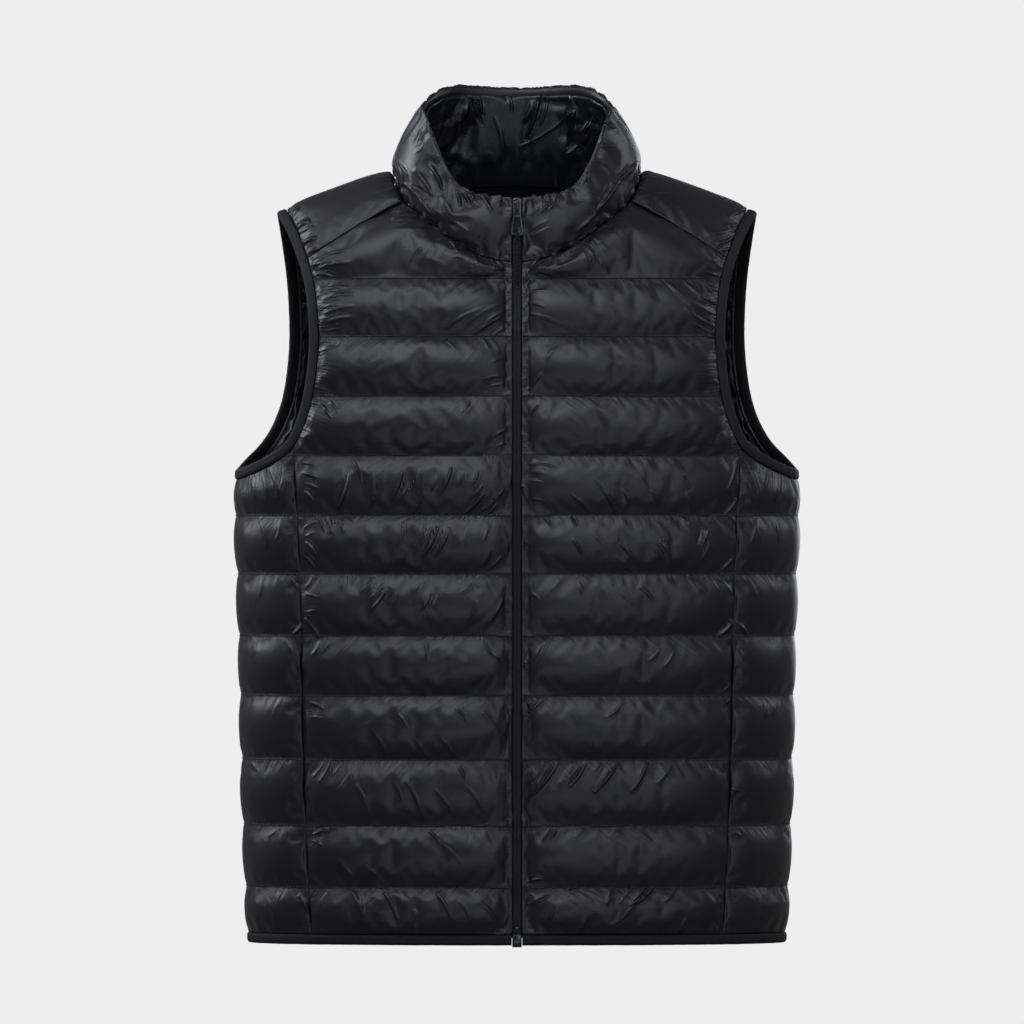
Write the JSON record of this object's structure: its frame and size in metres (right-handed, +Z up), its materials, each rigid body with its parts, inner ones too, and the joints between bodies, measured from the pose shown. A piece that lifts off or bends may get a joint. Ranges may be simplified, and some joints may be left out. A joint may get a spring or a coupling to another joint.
{
  "type": "puffer vest",
  "caption": "Sleeveless quilted puffer vest with padded stand collar, full front zip, bound armholes and hem, in its filled-out hollow form.",
  "frame": {"origin": "midway between the two shoulders, at the height of the middle of each shoulder ridge, where the wearer's shoulders hold the vest", "axes": "+Z up, the front with the zip faces -Y, the wearer's left is at +X"},
  "size_m": [0.4906, 0.2432, 0.7439],
  "materials": {
    "shell": "satin downproof nylon",
    "lining": "glossy thin nylon",
    "binding": "matt elastic tape",
    "tape": "woven zip tape",
    "teeth": "nylon coil",
    "hardware": "black lacquered zinc"
  },
  "bodies": {
    "garment": {"front_left": "shell", "front_right": "shell", "side_left": "shell", "side_right": "shell", "back": "shell", "yoke_left": "shell", "yoke_right": "shell", "collar": "shell", "collar_lining": "lining", "back_lining": "lining", "armhole_binding_left": "binding", "armhole_binding_right": "binding", "hem_binding": "binding", "zip_tape_left": "tape", "zip_tape_right": "tape", "pocket_zip_left": "tape", "pocket_zip_right": "tape", "zip_coil": "teeth", "zip_slider": "hardware", "zip_bottom_stop": "hardware"},
    "pull": {"zip_pull": "hardware"}
  },
  "joints": [
    {"name": "pull_swing", "type": "hinge", "parent": "garment", "child": "pull", "pos_m": [0, -0.09169, -0.01283], "axis": [-1, 0, 0], "range_deg": [0, 150]}
  ]
}
